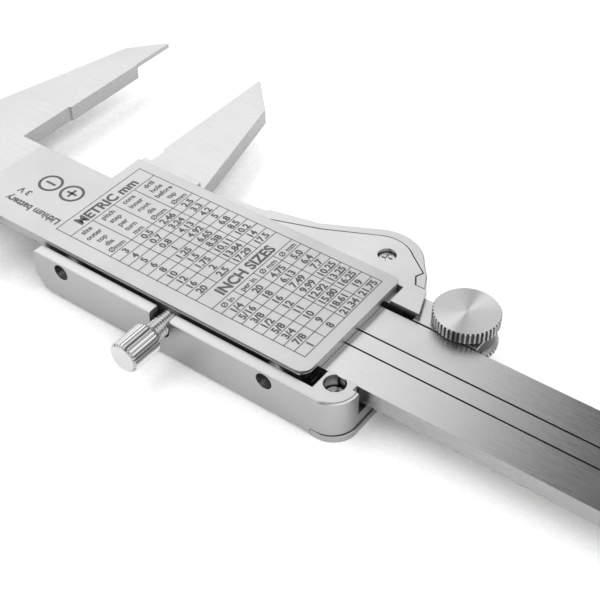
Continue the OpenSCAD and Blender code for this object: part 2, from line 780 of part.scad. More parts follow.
module roller_bracket() {
    leaf_x = [59.4, 70.4];
    leaf_near_y = beam_w + 0.35;
    eye_r = 2.3;
    web_right = 59.9;
    color(steel) on_slider() difference() {
        union() {
            for (z = leaf_z) {
                box([leaf_x[0], leaf_near_y, z], [leaf_x[1], bracket_y[1], z + leaf_t]);
                rod_z([roller_x, roller_y], z, z + leaf_t, eye_r);
            }
            box([bracket_x, bracket_y[0], leaf_z[0]], [web_right, bracket_y[1], leaf_z[1] + leaf_t]);
        }
        for (z = leaf_z) rod_z([roller_x, roller_y], z - 0.1, z + leaf_t + 0.1, axle_r + fit_gap);
        rod_z(bracket_screw_at, leaf_z[0] - cut, back_z + cut, small_screw_r + part_gap);
    }
}

module bracket_screw()
    color(satin) on_slider() rod_z(bracket_screw_at, 3, leaf_z[1], small_screw_r);

module roller_upper_disc() {
    bore_depth = 1.2;
    color(steel) on_slider() difference() {
        rod_z([roller_x, roller_y], disc_bottom, disc_bottom + disc_t, disc_r);
        rod_z([roller_x, roller_y], disc_bottom - cut, disc_bottom + bore_depth, axle_r + part_gap);
    }
}

module roller_hub() color(steel) on_slider()
    roller_ring(leaf_z[0] + leaf_t + 0.1, leaf_z[1] - 0.1, hub_r);

module roller_lower_disc() color(steel) on_slider()
    roller_ring(lower_disc_z, lower_disc_z + lower_disc_t, disc_r);

module roller_axle() {
    bore_depth = 1.15;
    color(satin) on_slider()
        rod_z([roller_x, roller_y], lower_disc_z + seam, disc_bottom + bore_depth, axle_r);
}

beam_and_fixed_jaws();
scale_strip();
scale_label();
end_stop();
end_stop_screws();
slider_body();
thread_table_plate();
depth_rod();
depth_rod_pin();
gib_strip();
gib_screws();
housing();
corner_screw_piece();
flange_screw_piece();
front_cover();
display_window();
display_panel();
zebra_connector();
circuit_board();
reader_plate();
board_screws();
dome_contacts();
battery();
battery_contact_top();
battery_contact_side();
roller_bracket();
bracket_screw();
battery_cover();
button_power();
button_zero();
button_unit();
lock_screw();
roller_upper_disc();
roller_hub();
roller_lower_disc();
roller_axle();
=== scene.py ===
import json
import math

import bmesh
import bpy
from mathutils import Matrix, Vector
from mathutils.geometry import delaunay_2d_cdt


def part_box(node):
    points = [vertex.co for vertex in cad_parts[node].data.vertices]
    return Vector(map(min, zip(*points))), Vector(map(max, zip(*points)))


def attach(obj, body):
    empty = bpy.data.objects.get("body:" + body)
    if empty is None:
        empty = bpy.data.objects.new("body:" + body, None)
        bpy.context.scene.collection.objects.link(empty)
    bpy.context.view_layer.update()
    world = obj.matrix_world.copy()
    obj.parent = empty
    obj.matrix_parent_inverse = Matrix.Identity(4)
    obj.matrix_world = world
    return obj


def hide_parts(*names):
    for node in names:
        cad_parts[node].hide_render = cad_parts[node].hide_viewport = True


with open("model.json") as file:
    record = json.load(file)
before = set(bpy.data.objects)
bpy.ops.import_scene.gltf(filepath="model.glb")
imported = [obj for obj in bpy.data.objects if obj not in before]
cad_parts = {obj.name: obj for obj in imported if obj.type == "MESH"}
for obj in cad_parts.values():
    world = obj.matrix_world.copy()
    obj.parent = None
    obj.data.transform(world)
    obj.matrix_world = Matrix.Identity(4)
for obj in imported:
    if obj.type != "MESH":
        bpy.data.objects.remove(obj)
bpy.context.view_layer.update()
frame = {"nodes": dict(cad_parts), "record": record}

# A digital caliper that lies on its display side. Lengths are metres; MM turns millimetres into them.
MM = 0.001
SLOTS = {s["node"]: s["material_slot"] for s in frame["record"]["subparts"]}
BODY_OF = {n: b for b, nodes in frame["record"]["behaviour"]["bodies"].items() for n in nodes}
PLATE_LO, PLATE_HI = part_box("thread_table_plate")


# ---------------------------------------------------------------- materials

class Nodes:
    """A material's node tree, with short calls for the nodes used here."""

    def __init__(self, name):
        self.material = bpy.data.materials.new(name)
        self.material.use_nodes = True
        self.tree = self.material.node_tree
        self.shader = self.tree.nodes["Principled BSDF"]
        self.coords = self.tree.nodes.new("ShaderNodeTexCoord").outputs["Object"]

    def link(self, a, b):
        self.tree.links.new(a, b)

    def mapped(self, scale, location=(0, 0, 0)):
        """Object coordinates times `scale`, plus `location`."""
        node = self.tree.nodes.new("ShaderNodeMapping")
        node.inputs["Scale"].default_value = scale
        node.inputs["Location"].default_value = location
        self.link(self.coords, node.inputs["Vector"])
        return node.outputs["Vector"]

    def noise(self, scale, detail=4.0, roughness=0.6):
        node = self.tree.nodes.new("ShaderNodeTexNoise")
        node.inputs["Scale"].default_value = 1.0
        node.inputs["Detail"].default_value = detail
        node.inputs["Roughness"].default_value = roughness
        self.link(self.mapped(scale), node.inputs["Vector"])
        return node.outputs["Fac"]

    def radius(self, centre, axis):
        """Distance from an axis through `centre`."""
        mask = [0.0 if k == axis else 1.0 for k in range(3)]
        local = self.mapped(mask, [-c * m for c, m in zip(centre, mask)])
        length = self.tree.nodes.new("ShaderNodeVectorMath")
        length.operation = "LENGTH"
        self.link(local, length.inputs[0])
        return length.outputs["Value"]

    def rings(self, radius, pitch):
        """Fine concentric grooves: 0 to 1 over each uneven pitch."""
        node = self.tree.nodes.new("ShaderNodeTexNoise")
        node.noise_dimensions = "1D"
        node.inputs["Scale"].default_value = 1.0 / pitch
        node.inputs["Detail"].default_value = 3.0
        self.link(radius, node.inputs["W"])
        return node.outputs["Fac"]

    def beside(self, axis):
        """1 on faces that look away from an axis, 0 on faces that look along it."""
        geometry = self.tree.nodes.new("ShaderNodeNewGeometry")
        parts = self.tree.nodes.new("ShaderNodeSeparateXYZ")
        self.link(geometry.outputs["True Normal"], parts.inputs[0])
        return self.ramp(self.math("ABSOLUTE", parts.outputs["XYZ"[axis]], 0.0), 1.0, 0.0, 0.5, 0.85)

    def ramp(self, fac, low, high, start=0.3, stop=0.7):
        """From `low` to `high` as `fac` goes from `start` to `stop`, and level outside."""
        node = self.tree.nodes.new("ShaderNodeMapRange")
        node.inputs["From Min"].default_value = start
        node.inputs["From Max"].default_value = stop
        node.inputs["To Min"].default_value = low
        node.inputs["To Max"].default_value = high
        self.link(fac, node.inputs["Value"])
        return node.outputs["Result"]

    def math(self, op, a, b):
        node = self.tree.nodes.new("ShaderNodeMath")
        node.operation = op
        for socket, value in zip(node.inputs, (a, b)):
            if isinstance(value, (int, float)):
                socket.default_value = value
            else:
                self.link(value, socket)
        return node.outputs["Value"]

    def mix(self, fac, a, b):
        node = self.tree.nodes.new("ShaderNodeMix")
        node.data_type = "RGBA"
        self.link(fac, node.inputs["Factor"])
        for socket, value in ((node.inputs[6], a), (node.inputs[7], b)):
            if isinstance(value, (tuple, list)):
                socket.default_value = (*value, 1.0)
            else:
                self.link(value, socket)
        return node.outputs[2]

    def edge(self, radius):
        """1 on the edges of the shape, 0 on its flats."""
        bevel = self.tree.nodes.new("ShaderNodeBevel")
        bevel.samples = 4
        bevel.inputs["Radius"].default_value = radius
        geometry = self.tree.nodes.new("ShaderNodeNewGeometry")
        dot = self.tree.nodes.new("ShaderNodeVectorMath")
        dot.operation = "DOT_PRODUCT"
        self.link(bevel.outputs["Normal"], dot.inputs[0])
        self.link(geometry.outputs["Normal"], dot.inputs[1])
        return self.ramp(dot.outputs["Value"], 1.0, 0.0, 0.8, 0.985)

    def bump(self, height, strength, distance):
        node = self.tree.nodes.new("ShaderNodeBump")
        node.inputs["Strength"].default_value = strength
        node.inputs["Distance"].default_value = distance
        self.link(height, node.inputs["Height"])
        self.link(node.outputs["Normal"], self.shader.inputs["Normal"])

    def set(self, **values):
        for name, value in values.items():
            self.shader.inputs[name.replace("_", " ").title().replace("Ior", "IOR")].default_value = value


def grey(v):
    """A grey with a hint of blue."""
    return (v, v, v * 1.01)


def brushed(name, tone, rough, streak, width, grain=0.035, bump=0.25, aniso=0.0):
    """Ground or brushed metal: streaks along X of `streak` by `width`, blotches and brighter worn edges."""
    n = Nodes(name)
    fine = n.noise((1 / streak, 1 / width, 1 / width), 3.0, 0.55)
    coarse = n.noise((0.35 / streak, 0.22 / width, 0.22 / width), 2.0, 0.5)
    cloud = n.noise((70.0,) * 3, 3.0, 0.5)
    both = n.math("ADD", n.math("MULTIPLY", fine, 0.75), n.math("MULTIPLY", coarse, 0.25))
    body = n.mix(n.ramp(both, 0.0, 1.0, 0.35, 0.65), grey(tone - grain), grey(tone + grain))
    aged = n.mix(n.ramp(cloud, 0.0, 0.3, 0.45, 0.8), body, grey(tone * 0.92))
    n.link(n.mix(n.edge(0.12 * MM), aged, grey(min(1.0, tone * 1.2))), n.shader.inputs["Base Color"])
    n.link(n.math("ADD", n.ramp(both, rough - 0.05, rough + 0.05), n.ramp(cloud, -0.03, 0.04)),
           n.shader.inputs["Roughness"])
    n.bump(both, bump, 0.004 * MM)
    n.set(metallic=1.0, anisotropic=aniso)
    if aniso:
        tangent = n.tree.nodes.new("ShaderNodeCombineXYZ")
        tangent.inputs["Y"].default_value = 1.0
        n.link(tangent.outputs["Vector"], n.shader.inputs["Tangent"])
    return n.material


def cast_satin(name, tone, rough, grain_scale=7000.0):
    """Plated die casting with a fine blasted texture, slightly brighter on its edges."""
    n = Nodes(name)
    grain = n.noise((grain_scale,) * 3, 2.0, 0.6)
    swell = n.noise((160.0,) * 3, 2.0, 0.5)
    body = n.mix(n.ramp(swell, 0.0, 1.0), grey(tone * 0.97), grey(tone * 1.03))
    n.link(n.mix(n.edge(0.16 * MM), body, grey(min(1.0, tone * 1.2))), n.shader.inputs["Base Color"])
    n.link(n.math("ADD", n.ramp(grain, rough - 0.05, rough + 0.05), n.ramp(swell, -0.008, 0.012)),
           n.shader.inputs["Roughness"])
    n.bump(grain, 0.3, 0.004 * MM)
    n.set(metallic=1.0)
    return n.material


def turned_metal(name, tone, rough, aniso, node, axis=2, root=0.0, crest=0.0, valley_shade=0.3):
    """Lathe-turned metal: fine rings around the axis of a CAD node, and stretched highlights. Between the
    radii `root` and `crest` a knurl's valleys carry painted shade, fading from the share of the tone given
    by the last argument to the plain tone."""
    n = Nodes(name)
    low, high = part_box(node)
    tangent = n.tree.nodes.new("ShaderNodeTangent")
    tangent.direction_type = "RADIAL"
    tangent.axis = "XYZ"[axis]
    n.link(tangent.outputs["Tangent"], n.shader.inputs["Tangent"])
    radius = n.radius((low + high) / 2, axis)
    rings = n.rings(radius, 0.05 * MM)
    swell = n.noise((300.0,) * 3, 2.0, 0.5)
    body = n.mix(n.ramp(rings, 0.0, 1.0), grey(tone * 0.95), grey(tone * 1.04))
    body = n.mix(n.ramp(swell, 0.0, 0.4), body, grey(tone * 0.93))
    if crest:
        # Painted shade: the sides of the knurl darken from the crest radius down to the root radius.
        valley = n.math("MULTIPLY", n.ramp(radius, 1.0, 0.0, root, crest), n.beside(axis))
        body = n.mix(valley, body, grey(tone * valley_shade))
    n.link(body, n.shader.inputs["Base Color"])
    n.link(n.ramp(rings, rough - 0.03, rough + 0.05), n.shader.inputs["Roughness"])
    n.bump(rings, 0.2, 0.002 * MM)
    n.set(metallic=1.0, anisotropic=aniso, anisotropic_rotation=0.25)
    return n.material


def plastic(name, colour, rough, grain_scale=3500.0, bump=0.25, coat=0.0, shade=0.86):
    """Moulded plastic, rubber or film: fine grain, and a colour that wanders down to the share `shade`."""
    n = Nodes(name)
    grain = n.noise((grain_scale,) * 3, 3.0, 0.6)
    swell = n.noise((250.0,) * 3, 2.0, 0.5)
    dark = tuple(c * shade for c in colour)
    n.link(n.mix(n.ramp(swell, 0.0, 1.0), dark, colour), n.shader.inputs["Base Color"])
    n.link(n.ramp(grain, rough - 0.05, rough + 0.08), n.shader.inputs["Roughness"])
    n.bump(grain, bump, 0.01 * MM)
    n.set(coat_weight=coat)
    return n.material


def clear_pane():
    """The display's window: clear, with faint smears."""
    n = Nodes("clear_pane")
    smear = n.noise((400.0,) * 3)
    tint = n.mix(n.ramp(smear, 0.0, 1.0), (0.93, 0.96, 0.96), (0.97, 0.99, 0.99))
    n.link(tint, n.shader.inputs["Base Color"])
    n.link(n.ramp(smear, 0.005, 0.025), n.shader.inputs["Roughness"])
    n.set(transmission_weight=1.0, ior=1.49)
    return n.material


INK = plastic("table_ink", (0.05, 0.05, 0.052), 0.5, 6000.0)
# The knurls of the knob and the roller get painted shade in their valleys: half and a fifth of their tone.
KNOB = turned_metal("turned_knob", 0.56, 0.26, 0.3, "lock_screw", axis=1, root=2.4 * MM, crest=2.58 * MM,
                    valley_shade=0.5)
MATERIALS = {
    "steel": brushed("ground_steel", 0.36, 0.29, 2.5 * MM, 0.11 * MM, grain=0.026, aniso=0.7),
    "plate": brushed("satin_sheet", 0.39, 0.44, 0.4 * MM, 0.25 * MM, grain=0.008, bump=0.12),
    "case": cast_satin("plated_casting", 0.385, 0.34),
    "screw": cast_satin("bright_screw", 0.4, 0.24),
    "nickel": turned_metal("turned_nickel", 0.46, 0.4, 0.93, "roller_upper_disc", root=4.95 * MM,
                           crest=5.2 * MM, valley_shade=0.2),
    "black_screw": cast_satin("blackened_steel", 0.06, 0.4),
    "strip": plastic("glass_epoxy", (0.08, 0.25, 0.12), 0.3, coat=0.3),
    "label": plastic("printed_film", (0.7, 0.7, 0.68), 0.35),
    "gib": brushed("gib_bronze", 0.4, 0.35, 4 * MM, 0.1 * MM),
    "window": clear_pane(),
    "display": plastic("display_film", (0.42, 0.46, 0.4), 0.25, bump=0.05, coat=0.5, shade=0.95),
    "zebra": plastic("silicone", (0.75, 0.5, 0.52), 0.5),
    "board": plastic("solder_mask", (0.03, 0.2, 0.1), 0.3, coat=0.4),
    "contact": brushed("sprung_contact", 0.45, 0.3, 3 * MM, 0.1 * MM),
    "cell": turned_metal("cell_can", 0.5, 0.25, 0.4, "battery"),
    "dark_plastic": plastic("moulded_black", (0.035, 0.035, 0.04), 0.45),
    "red_button": plastic("red_rubber", (0.45, 0.05, 0.04), 0.5),
    "grey_button": plastic("grey_rubber", (0.55, 0.55, 0.56), 0.5),
}

for node, obj in frame["nodes"].items():
    obj.data.materials.clear()
    obj.data.materials.append(MATERIALS[SLOTS[node]])


# ---------------------------------------------------------------- pieces from the frame

FLAT_ANGLE = 0.6        # degrees under which two faces count as one flat
SHARP_ANGLE = 28        # degrees over which an edge is broken
SHORT_EDGE = 0.06 * MM  # shorter edges are dissolved before the edges are broken
RIM_STEPS, EDGE_STEPS = 5, 2


def new_object(name, mesh, material, body):
    """A piece of the visual model that rides on a body."""
    obj = bpy.data.objects.new(name, mesh)
    bpy.context.scene.collection.objects.link(obj)
    obj.data.materials.clear()
    obj.data.materials.append(material)
    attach(obj, body)
    return obj


def bevel(bm, edges, width, segments, tag):
    """Rounds edges, and marks the new faces in the layer `tag`."""
    made = bmesh.ops.bevel(bm, geom=edges, offset=width, offset_type="OFFSET", segments=segments,
                           profile=0.5, affect="EDGES", clamp_overlap=False, miter_outer="ARC")
    for face in made["faces"]:
        face[tag] = 1
    return {v for face in made["faces"] for v in face.verts}


def tile_flats(bm):
    """Cuts each many-sided face into triangles by constrained Delaunay, which long thin outlines need."""
    for face in [f for f in bm.faces if len(f.verts) > 4]:
        x = face.normal.orthogonal().normalized()
        y = face.normal.cross(x)
        base, corners = face.verts[0].co.copy(), list(face.verts)
        flat = [Vector(((v.co - base).dot(x), (v.co - base).dot(y))) / MM for v in corners]
        made = delaunay_2d_cdt(flat, [], [list(range(len(flat)))], 1, 1e-7)
        points, tiles, sources = made[0], made[2], made[3]
        verts = [corners[source[0]] if source else bm.verts.new(base + (x * p.x + y * p.y) * MM)
                 for p, source in zip(points, sources)]
        bm.faces.remove(face)
        for tile in tiles:
            tile_verts = [verts[k] for k in tile]
            if len(set(tile_verts)) == len(tile) and bm.faces.get(tile_verts) is None:
                bm.faces.new(tile_verts)


def mean_normal(faces, fallback):
    """The faces' normals averaged by area, or `fallback` where they cancel out."""
    total = sum((f.normal * f.calc_area() for f in faces), Vector())
    return total.normalized() if total.length > 0.0 else fallback


def corner_normals(bm, tag):
    """One normal per face corner: flats stay flat up to their bevels, and bevels blend into both sides."""
    smooth, turn = math.cos(math.radians(30)), math.cos(math.radians(62))
    normals = []
    for face in bm.faces:
        for loop in face.loops:
            around = loop.vert.link_faces
            flats = [f for f in around if not f[tag]]
            if not face[tag]:
                group = [f for f in flats if f.normal.dot(face.normal) > smooth]
            elif flats:
                group = [f for f in flats if f.normal.dot(face.normal) > turn]
            else:
                group = [f for f in around if f.normal.dot(face.normal) > turn]
            normals.append(mean_normal(group, face.normal))
    return normals


def rim_edges(bm, height, side_y, slack):
    """The outer edges of the flat at a height, on the near (-1) or far (1) side of the middle, each within
    `slack` of the piece's outermost point in the edge's own direction."""
    bm.normal_update()
    xs, ys = [v.co.x for v in bm.verts], [v.co.y for v in bm.verts]
    centre = Vector(((min(xs) + max(xs)) / 2, (min(ys) + max(ys)) / 2, height))
    chosen = []
    for e in bm.edges:
        if max(abs(v.co.z - height) for v in e.verts) > 0.001 * MM or not e.is_convex:
            continue
        side = min(e.link_faces, key=lambda f: f.normal.z).normal
        out = ((e.verts[0].co + e.verts[1].co) / 2 - centre).normalized()
        if abs(side.z) < 0.2 and side.dot(out) > 0.3 and out.y * side_y > 0.0:
            outermost = max(v.co.dot(side) for v in bm.verts)
            if e.verts[0].co.dot(side) > outermost - slack:
                chosen.append(e)
    return chosen


def finished(node, width, rims=()):
    """Replaces a CAD node by the same shape with its edges broken, as a deburred part has them. The rims
    are the side, the slack, the width and the drop of the rounding on its highest flats' outer edges."""
    bm = bmesh.new()
    bm.from_mesh(frame["nodes"][node].data)
    bmesh.ops.remove_doubles(bm, verts=bm.verts, dist=0.0005 * MM)
    bmesh.ops.dissolve_limit(bm, angle_limit=math.radians(FLAT_ANGLE), verts=bm.verts, edges=bm.edges)
    bmesh.ops.dissolve_degenerate(bm, dist=SHORT_EDGE, edges=bm.edges)
    tag = bm.faces.layers.int.new("bevel")
    flats = sorted({round(f.verts[0].co.z, 6) for f in bm.faces if f.normal.z > 0.99}, reverse=True)
    for height, (side_y, slack, rounding, drop) in zip(flats, rims):
        for v in bevel(bm, rim_edges(bm, height, side_y, slack), rounding, RIM_STEPS, tag):
            v.co.z = height - (height - v.co.z) * drop / rounding
    sharp = [e for e in bm.edges
             if len(e.link_faces) == 2 and e.calc_face_angle(0.0) > math.radians(SHARP_ANGLE)]
    bevel(bm, sharp, width, EDGE_STEPS, tag)
    bm.normal_update()
    tile_flats(bm)
    bm.normal_update()
    for f in bm.faces:
        f.smooth = True
    normals = corner_normals(bm, tag)
    bm.faces.layers.int.remove(tag)
    mesh = bpy.data.meshes.new(node + "_finished")
    bm.to_mesh(mesh)
    bm.free()
    mesh.normals_split_custom_set(normals)
    slot = SLOTS[node]
    obj = new_object(node + "_finished", mesh, MATERIALS[slot], BODY_OF[node])
    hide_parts(node)


# The width of each piece's broken edges, in millimetres.
EDGES = {
    "beam_and_fixed_jaws": 0.1, "slider_body": 0.09, "thread_table_plate": 0.08, "front_cover": 0.1,
    "end_stop": 0.1, "end_stop_screws": 0.05, "roller_bracket": 0.04, "depth_rod": 0.04,
    "corner_screw_piece": 0.06, "flange_screw_piece": 0.06, "battery_cover": 0.1, "button_power": 0.1,
    "button_zero": 0.1, "button_unit": 0.1, "gib_screws": 0.05,
}
FAR_RIM = (1, 20 * MM, 0.22 * MM, 0.22 * MM)
NEAR_RIM = (-1, 0.1 * MM, 0.55 * MM, 0.36 * MM)

for node, width in EDGES.items():
    finished(node, width * MM)
finished("housing", 0.1 * MM, rims=(FAR_RIM, NEAR_RIM))


# ---------------------------------------------------------------- turned pieces

def turned(name, rings, steps, place, close=(True, True)):
    """A lathed mesh: each ring is a function from an angle to a radius and a height along the axis, and
    `place` turns two distances across the axis and a height into a point."""
    bm = bmesh.new()
    angles = [2 * math.pi * k / steps for k in range(steps)]
    loops = []
    for ring in rings:
        points = [(a, *ring(a)) for a in angles]
        loops.append([bm.verts.new(place(r * math.cos(a), r * math.sin(a), h)) for a, r, h in points])
    for low, high in zip(loops, loops[1:]):
        for k in range(steps):
            bm.faces.new((low[k], low[(k + 1) % steps], high[(k + 1) % steps], high[k]))
    for wanted, loop in zip(close, (loops[0], loops[-1])):
        if wanted:
            bm.faces.new(loop)
    bmesh.ops.recalc_face_normals(bm, faces=bm.faces)
    mesh = bpy.data.meshes.new(name)
    bm.to_mesh(mesh)
    bm.free()
    return mesh


RIDGE_POINTS = 6


def plain_ring(radius, height):
    """A circle."""
    return lambda angle: (radius, height)


def ridged_ring(radius, height, ridges, depth):
    """Straight knurl: flat-topped ridges with flat valleys, RIDGE_POINTS points to a ridge."""
    def point(angle):
        part = int(round(angle / (2 * math.pi) * ridges * RIDGE_POINTS)) % RIDGE_POINTS
        return (radius - (depth if part >= RIDGE_POINTS / 2 else 0.0), height)
    return point


def knurled_disc(node, ridges, depth, chamfer, bored_through):
    """A roller disc with a knurled rim between two chamfers, closed or bored for the axle."""
    low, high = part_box(node)
    centre = (low + high) / 2
    radius = (high.x - low.x) / 2
    axle = 1.02 * MM
    z0, z1 = low.z, high.z
    rings = [plain_ring(axle, z0), plain_ring(radius - chamfer * 1.6, z0)]
    # each ring's radius, height and share of the ridges' depth
    for r, z, share in ((radius - chamfer, z0 + chamfer * 0.2, 0.3), (radius, z0 + chamfer, 1.0),
                        (radius, z1 - chamfer, 1.0), (radius - chamfer, z1, 0.15)):
        rings.append(ridged_ring(r, z, ridges, depth * share))
    rings.append(plain_ring(radius - chamfer * 1.5, z1))
    if bored_through:
        rings += [plain_ring(axle, z1), plain_ring(axle, z0)]
    else:
        rings += [plain_ring(radius * 0.5, z1), plain_ring(0.25 * MM, z1)]
    return turned(node + "_knurled", rings, ridges * RIDGE_POINTS,
                  lambda x, y, h: (centre.x + x, centre.y + y, h), (not bored_through, not bored_through))


def facet(mesh, angle):
    """Smooth shading, except over edges sharper than `angle` degrees."""
    mesh.polygons.foreach_set("use_smooth", [True] * len(mesh.polygons))
    mesh.set_sharp_from_angle(angle=math.radians(angle))


def weld(mesh):
    """Joins the first and last rings of a bored disc where they meet."""
    bm = bmesh.new()
    bm.from_mesh(mesh)
    bmesh.ops.remove_doubles(bm, verts=bm.verts, dist=0.0001 * MM)
    bmesh.ops.recalc_face_normals(bm, faces=bm.faces)
    bm.to_mesh(mesh)
    bm.free()


def roller():
    """The two knurled discs of the thumb roller."""
    for node, bored in (("roller_upper_disc", False), ("roller_lower_disc", True)):
        mesh = knurled_disc(node, ridges=45, depth=0.3 * MM, chamfer=0.16 * MM, bored_through=bored)
        weld(mesh)
        facet(mesh, 20)
        obj = new_object(node + "_knurled", mesh, MATERIALS["nickel"], BODY_OF[node])
        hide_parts(node)


def lock_screw():
    """The knurled head with chamfered ends, a relief, and a thread whose crests follow a helix."""
    low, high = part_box("lock_screw")
    axis_x, axis_z = (low.x + high.x) / 2, (low.z + high.z) / 2
    radius = (high.x - low.x) / 2
    head_back = low.y + 5.9 * MM
    ridges, ridge_depth, chamfer, lip = 28, 0.2 * MM, 0.36 * MM, 0.04 * MM
    pitch, depth, rings_per_turn = 0.5 * MM, 0.3 * MM, 8
    core, middle = 1.3 * MM, 0.3 * MM
    start, stop = head_back + 0.35 * MM, high.y - 0.3 * MM
    rings = [plain_ring(middle, low.y), plain_ring(radius - chamfer * 1.25, low.y)]
    # each ring's radius, place along the axis and share of the ridges' depth
    for r, y, share in ((radius - chamfer * 0.95, low.y + lip, 0.2), (radius, low.y + chamfer, 1.0),
                        (radius, head_back - chamfer, 1.0), (radius - chamfer, head_back - lip, 0.2)):
        rings.append(ridged_ring(r, y, ridges, ridge_depth * share))
    rings.append(plain_ring(radius - chamfer * 1.25, head_back))
    rings += [plain_ring(core, head_back), plain_ring(core, start)]

    def thread(y):
        """A flank up, a flat crest and a flank down over each pitch, fading out at the thread's ends."""
        def point(angle):
            phase = ((y - start) / pitch - angle / (2 * math.pi)) % 1.0
            rise = max(0.0, min(1.0, 2.6 * (0.5 - abs(phase - 0.5)) - 0.15))
            fade = min(1.0, (y - start) / (0.4 * pitch), (stop - y) / (0.4 * pitch))
            return (core + depth * rise * max(0.0, fade), y)
        return point

    count = int((stop - start) / pitch * rings_per_turn)
    rings += [thread(start + (stop - start) * k / count) for k in range(1, count)]
    rings += [plain_ring(core, stop), plain_ring(core, high.y), plain_ring(middle, high.y)]
    mesh = turned("lock_screw_knurled", rings, ridges * RIDGE_POINTS,
                  lambda a, b, h: (axis_x + a, h, axis_z + b))
    facet(mesh, 24)
    obj = new_object("lock_screw_knurled", mesh, KNOB, BODY_OF["lock_screw"])
    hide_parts("lock_screw")


roller()
lock_screw()


# ---------------------------------------------------------------- printed marks

class Print:
    """Ink on a flat face: bars, rings and words drawn in millimetres, from `sink` under the face to `rise`
    over it."""

    rise, sink = 0.012, 0.006
    capital = 0.729  # height of a capital of the built-in font at size 1

    def __init__(self):
        self.bm = bmesh.new()

    def prism(self, outline, holes=()):
        """A thin slab whose outline is a loop of points; with one hole loop of as many points, a ring."""
        layers = []
        for z in (-self.sink, self.rise):
            layers.append([[self.bm.verts.new((x, y, z)) for x, y in loop] for loop in (outline, *holes)])
        count = len(outline)
        for low, high in zip(*layers):
            for k in range(count):
                self.bm.faces.new((low[k], low[(k + 1) % count], high[(k + 1) % count], high[k]))
        for layer in layers:
            if holes:
                for k in range(count):
                    step = (k + 1) % count
                    self.bm.faces.new((layer[0][k], layer[0][step], layer[1][step], layer[1][k]))
            else:
                self.bm.faces.new(layer[0])

    def bar(self, a, b, width):
        """A straight stroke between two points."""
        a, b = Vector(a), Vector(b)
        side = (b - a).orthogonal().normalized() * (width / 2)
        self.prism([tuple(a - side), tuple(b - side), tuple(b + side), tuple(a + side)])

    def circle(self, centre, radius, steps=40):
        return [(centre[0] + radius * math.cos(2 * math.pi * k / steps),
                 centre[1] + radius * math.sin(2 * math.pi * k / steps)) for k in range(steps)]

    def ring(self, centre, radius, stroke):
        self.prism(self.circle(centre, radius), [self.circle(centre, radius - stroke)])

    def text(self, words, at, height, turn=0.0, weight=0.0, stretch=1.0):
        """Words whose capitals have the given height, centred on a point and turned by `turn` degrees.
        `weight` thickens the strokes, as a share of the font's size."""
        curve = bpy.data.curves.new("letters", "FONT")
        curve.body = words
        curve.resolution_u = 3
        curve.offset = weight
        scale = height / self.capital
        curve.extrude = (self.rise + self.sink) / 2 / scale
        holder = bpy.data.objects.new("letters", curve)
        mesh = bpy.data.meshes.new_from_object(holder)
        xs = [v.co.x for v in mesh.vertices]
        place = Matrix.Translation((at[0], at[1], (self.rise - self.sink) / 2))
        place = place @ Matrix.Rotation(math.radians(turn), 4, "Z")
        place = place @ Matrix.Diagonal((scale * stretch, scale, scale, 1))
        mesh.transform(place @ Matrix.Translation((-(min(xs) + max(xs)) / 2, -self.capital / 2, 0)))
        self.bm.from_mesh(mesh)
        bpy.data.objects.remove(holder)
        bpy.data.curves.remove(curve)
        bpy.data.meshes.remove(mesh)

    def build(self, name, origin, x_axis, y_axis, material, body):
        """Places the print: `origin` in metres, with its own X and Y along the given directions."""
        x, y = Vector(x_axis), Vector(y_axis)
        z = x.cross(y)
        matrix = Matrix((x * MM, y * MM, z * MM)).transposed().to_4x4()
        matrix.translation = origin
        bmesh.ops.remove_doubles(self.bm, verts=self.bm.verts, dist=0.0002)
        self.bm.transform(matrix)
        bmesh.ops.recalc_face_normals(self.bm, faces=self.bm.faces)
        mesh = bpy.data.meshes.new(name)
        self.bm.to_mesh(mesh)
        self.bm.free()
        new_object(name, mesh, material, body)


METRIC = (
    ("3", "0.5", "2.46", "2.5"), ("4", "0.7", "3.24", "3.3"), ("5", "0.8", "4.13", "4.2"),
    ("6", "1", "4.92", "5"), ("8", "1.25", "6.65", "6.8"), ("10", "1.5", "8.38", "8.5"),
    ("12", "1.75", "10.11", "10.2"), ("16", "2", "13.84", "14"), ("20", "2.5", "17.29", "17.5"),
)
INCH = (
    ("1/4", "20", "4.75", "5.0"), ("5/16", "18", "6.13", "6.4"), ("3/8", "16", "7.49", "7.7"),
    ("1/2", "12", "9.99", "10.25"), ("5/8", "11", "12.92", "13.25"), ("3/4", "10", "15.80", "16.25"),
    ("7/8", "9", "18.61", "19"), ("1", "8", "21.34", "21.75"),
)
METRIC_HEADS = (
    ("size", "outer", "top", "dia", "Ømm"), ("pitch", "step", "per", "turn", "mm"),
    ("core", "inner", "root", "dia", "Ømm"), ("drill", "hole", "before", "tap", "Ømm"),
)
INCH_HEADS = ("Ø in", "per in", "Ø mm", "Ø mm")
TABLE_WIDTH = 20.19
COLUMN = TABLE_WIDTH / 4
LINE = 0.15
# Capital height and added weight of the three kinds of text in the table.
TITLE_TEXT, HEAD_TEXT, NUMBER_TEXT = (1.95, 0.036), (1.05, 0.027), (1.3, 0.04)


